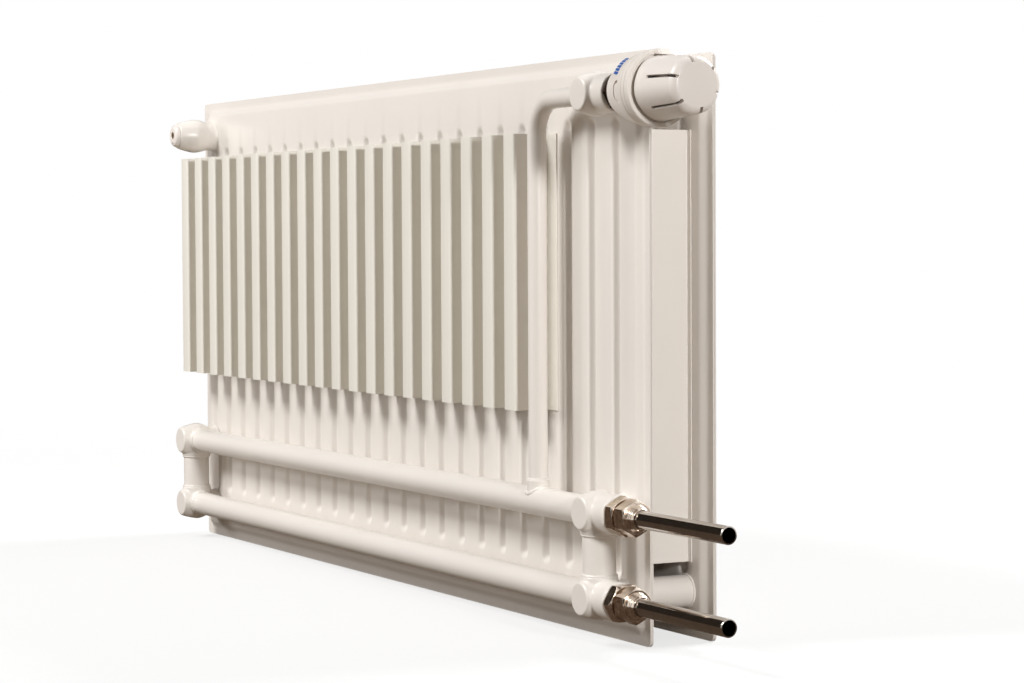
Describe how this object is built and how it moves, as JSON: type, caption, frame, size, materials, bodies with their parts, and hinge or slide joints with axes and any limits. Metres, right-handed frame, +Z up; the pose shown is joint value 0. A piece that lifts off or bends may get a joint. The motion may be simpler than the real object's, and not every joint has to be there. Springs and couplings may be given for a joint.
{
  "type": "panel radiator",
  "caption": "Double-panel heating radiator seen as a whole: pressed channel panels, folded convectors, rear pipe run with riser, chrome tube tails, thermostatic head and air vent.",
  "frame": {"origin": "middle of the whole radiator's footprint, at the bottom edge of the panels", "axes": "+X along the width, away from the pipe side; +Y towards the wall; +Z up"},
  "size_m": [0.9322, 0.104, 0.4],
  "materials": {
    "enamel": "gloss baked enamel, warm white",
    "head_white": "satin moulded",
    "vent_white": "satin moulded",
    "nickel": "nickel-plated, machined",
    "chrome_tube": "bright chrome",
    "brass": "machined",
    "steel": "turned",
    "capsule": "satin",
    "rubber": "moulded"
  },
  "bodies": {
    "radiator": {"front_panel_room_sheet": "enamel", "front_panel_gap_sheet": "enamel", "rear_panel_gap_sheet": "enamel", "rear_panel_wall_sheet": "enamel", "wall_convector": "enamel", "gap_convector": "enamel", "spacer_upper_valve": "enamel", "spacer_upper_vent": "enamel", "spacer_lower_valve": "enamel", "spacer_lower_vent": "enamel", "tee_upper_valve": "enamel", "tee_lower_valve": "enamel", "tee_upper_vent": "enamel", "tee_lower_vent": "enamel", "valve_body": "enamel", "vent_boss": "enamel", "header_upper": "enamel", "header_lower": "enamel", "connector_valve": "enamel", "connector_vent": "enamel", "riser_pipe": "enamel", "riser_collar": "enamel", "bleed_plug": "vent_white", "union_seal_supply": "rubber", "union_seal_return": "rubber", "union_body_supply": "nickel", "union_body_return": "nickel", "union_nut_supply": "nickel", "union_nut_return": "nickel", "olive_supply": "brass", "olive_return": "brass", "tube_supply": "chrome_tube", "tube_return": "chrome_tube", "valve_insert": "brass", "gland_nut": "brass", "head_nut": "nickel", "head_base": "head_white", "limit_ring": "head_white"},
    "cap": {"head_cap": "head_white"},
    "stem": {"valve_spindle": "steel", "valve_washer": "rubber", "push_rod": "steel", "sensor_capsule": "capsule"},
    "bleed": {"bleed_screw": "brass"}
  },
  "joints": [
    {"name": "cap_turn", "type": "hinge", "parent": "radiator", "child": "cap", "pos_m": [-0.30525, 0.02705, 0.3712], "axis": [-1, 0, 0], "range_deg": [-145, 145]},
    {"name": "stem_slide", "type": "slide", "parent": "radiator", "child": "stem", "axis": [-1, 0, 0], "range_m": [-0.0012, 0.0012]},
    {"name": "bleed_turn", "type": "hinge", "parent": "radiator", "child": "bleed", "pos_m": [0.43745, 0.02705, 0.3695], "axis": [0, 1, 0], "range_deg": [0, 180]}
  ],
  "couplings": [
    {"joint": "stem_slide", "follows": "cap_turn", "m_per_rad": 0.00047}
  ]
}
